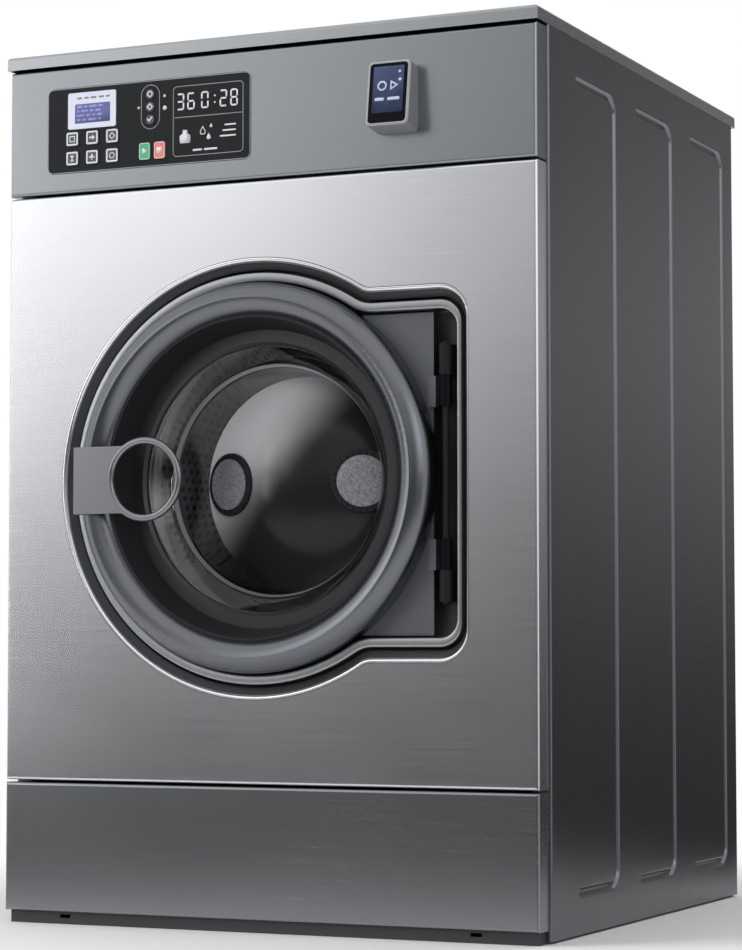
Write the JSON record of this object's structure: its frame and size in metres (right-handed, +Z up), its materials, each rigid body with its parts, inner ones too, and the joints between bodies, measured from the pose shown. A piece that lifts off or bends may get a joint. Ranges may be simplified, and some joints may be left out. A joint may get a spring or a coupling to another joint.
{
  "type": "commercial front-loading washing machine",
  "caption": "Free-standing hard-mount front-loading washer: steel cabinet, round glazed door on a side hinge, pull loop, keypad with display, payment terminal and belt-driven drum.",
  "frame": {"origin": "floor level, at the centre of the four floor bolt holes", "axes": "+Z up; -Y is the front with the door; +X to the right when facing the door"},
  "size_m": [0.786, 0.888, 1.1865],
  "materials": {
    "charcoal_paint": "satin charcoal powder coat",
    "frame_paint": "dark grey paint",
    "brushed_front": "brushed stainless steel",
    "lid_steel": "satin stainless steel",
    "galvanised": "plain zinc-coated sheet",
    "surround_grey": "satin dark grey",
    "door_metal": "satin cast aluminium",
    "door_black": "black lining",
    "clamp_grey": "dark anodised aluminium",
    "bowl_glass": "smoked door glass",
    "pad_grey": "speckled grey",
    "steel": "plain machined steel",
    "drum_steel": "polished stainless steel",
    "tub_steel": "stainless steel sheet",
    "pulley_iron": "turned cast iron",
    "black_rubber": "matt rubber",
    "black_plastic": "moulded plastic",
    "plate_charcoal": "charcoal control film",
    "board_green": "circuit board",
    "lcd_silver": "display module",
    "key_grey": "moulded keys",
    "start_green": "green key",
    "stop_red": "red key",
    "terminal_silver": "silver moulded plastic",
    "terminal_glass": "black glazed screen"
  },
  "bodies": {
    "cabinet": {"base_frame": "frame_paint", "left_side_panel": "charcoal_paint", "right_side_panel": "charcoal_paint", "rear_panel": "galvanised", "rear_screws": "steel", "top_lid": "lid_steel", "kick_panel": "brushed_front", "front_panel": "brushed_front", "fascia_panel": "brushed_front", "door_surround": "surround_grey", "hinge_bracket": "steel", "hinge_pin": "steel", "lock_housing": "black_plastic", "tub_gasket": "black_rubber", "tub_front": "tub_steel", "tub_shell": "tub_steel", "tub_back": "tub_steel", "tub_saddles": "frame_paint", "shaft_bearings": "steel", "bearing_housing": "frame_paint", "motor_housing": "frame_paint", "motor_bracket": "frame_paint", "drive_belt": "black_rubber", "inlet_valves": "black_plastic", "water_hoses": "black_rubber", "drain_valve": "black_plastic", "power_box": "black_plastic", "control_plate": "plate_charcoal", "control_board": "board_green", "lcd_module": "lcd_silver", "terminal_housing": "terminal_silver", "terminal_screen": "terminal_glass"},
    "door": {"door_ring": "door_metal", "door_funnel": "door_black", "glass_clamp_ring": "clamp_grey", "door_bowl": "bowl_glass", "bowl_pads": "pad_grey", "hinge_plate": "door_metal", "latch_tongue": "steel", "handle_pin": "steel"},
    "handle": {"handle": "door_metal"},
    "drum": {"drum_shell": "drum_steel", "drum_back": "drum_steel", "drum_lifters": "drum_steel", "drum_shaft": "steel", "drum_pulley": "pulley_iron"},
    "motor_rotor": {"motor_shaft": "steel", "motor_pulley": "pulley_iron"},
    "lock_bolt": {"lock_bolt": "steel"},
    "key_11": {"key_11": "key_grey"},
    "key_12": {"key_12": "key_grey"},
    "key_13": {"key_13": "key_grey"},
    "key_21": {"key_21": "key_grey"},
    "key_22": {"key_22": "key_grey"},
    "key_23": {"key_23": "key_grey"},
    "round_key_1": {"round_key_1": "key_grey"},
    "round_key_2": {"round_key_2": "key_grey"},
    "round_key_3": {"round_key_3": "key_grey"},
    "start_key": {"start_key": "start_green"},
    "stop_key": {"stop_key": "stop_red"}
  },
  "joints": [
    {"name": "door_hinge", "type": "hinge", "parent": "cabinet", "child": "door", "pos_m": [0.262, -0.401, 0.595], "axis": [0, 0, 1], "range_deg": [0, 115]},
    {"name": "handle_pull", "type": "hinge", "parent": "door", "child": "handle", "pos_m": [-0.257, -0.41, 0.595], "axis": [0, 0, -1], "range_deg": [0, 35], "stiffness_Nm_per_rad": 1.2},
    {"name": "drum_spin", "type": "hinge", "parent": "cabinet", "child": "drum", "pos_m": [-0.011, 0, 0.595], "axis": [0, 1, 0], "continuous": true},
    {"name": "motor_spin", "type": "hinge", "parent": "cabinet", "child": "motor_rotor", "pos_m": [0.11, 0, 0.165], "axis": [0, 1, 0], "continuous": true},
    {"name": "lock_slide", "type": "slide", "parent": "cabinet", "child": "lock_bolt", "axis": [1, 0, 0], "range_m": [0, 0.014], "stiffness_N_per_m": 300},
    {"name": "key_11_press", "type": "slide", "parent": "cabinet", "child": "key_11", "axis": [0, 1, 0], "range_m": [0, 0.0015], "stiffness_N_per_m": 900},
    {"name": "key_12_press", "type": "slide", "parent": "cabinet", "child": "key_12", "axis": [0, 1, 0], "range_m": [0, 0.0015], "stiffness_N_per_m": 900},
    {"name": "key_13_press", "type": "slide", "parent": "cabinet", "child": "key_13", "axis": [0, 1, 0], "range_m": [0, 0.0015], "stiffness_N_per_m": 900},
    {"name": "key_21_press", "type": "slide", "parent": "cabinet", "child": "key_21", "axis": [0, 1, 0], "range_m": [0, 0.0015], "stiffness_N_per_m": 900},
    {"name": "key_22_press", "type": "slide", "parent": "cabinet", "child": "key_22", "axis": [0, 1, 0], "range_m": [0, 0.0015], "stiffness_N_per_m": 900},
    {"name": "key_23_press", "type": "slide", "parent": "cabinet", "child": "key_23", "axis": [0, 1, 0], "range_m": [0, 0.0015], "stiffness_N_per_m": 900},
    {"name": "round_key_1_press", "type": "slide", "parent": "cabinet", "child": "round_key_1", "axis": [0, 1, 0], "range_m": [0, 0.0015], "stiffness_N_per_m": 900},
    {"name": "round_key_2_press", "type": "slide", "parent": "cabinet", "child": "round_key_2", "axis": [0, 1, 0], "range_m": [0, 0.0015], "stiffness_N_per_m": 900},
    {"name": "round_key_3_press", "type": "slide", "parent": "cabinet", "child": "round_key_3", "axis": [0, 1, 0], "range_m": [0, 0.0015], "stiffness_N_per_m": 900},
    {"name": "start_key_press", "type": "slide", "parent": "cabinet", "child": "start_key", "axis": [0, 1, 0], "range_m": [0, 0.0015], "stiffness_N_per_m": 900},
    {"name": "stop_key_press", "type": "slide", "parent": "cabinet", "child": "stop_key", "axis": [0, 1, 0], "range_m": [0, 0.0015], "stiffness_N_per_m": 900}
  ],
  "couplings": [
    {"joint": "motor_spin", "follows": "drum_spin", "ratio": 6.3333}
  ]
}
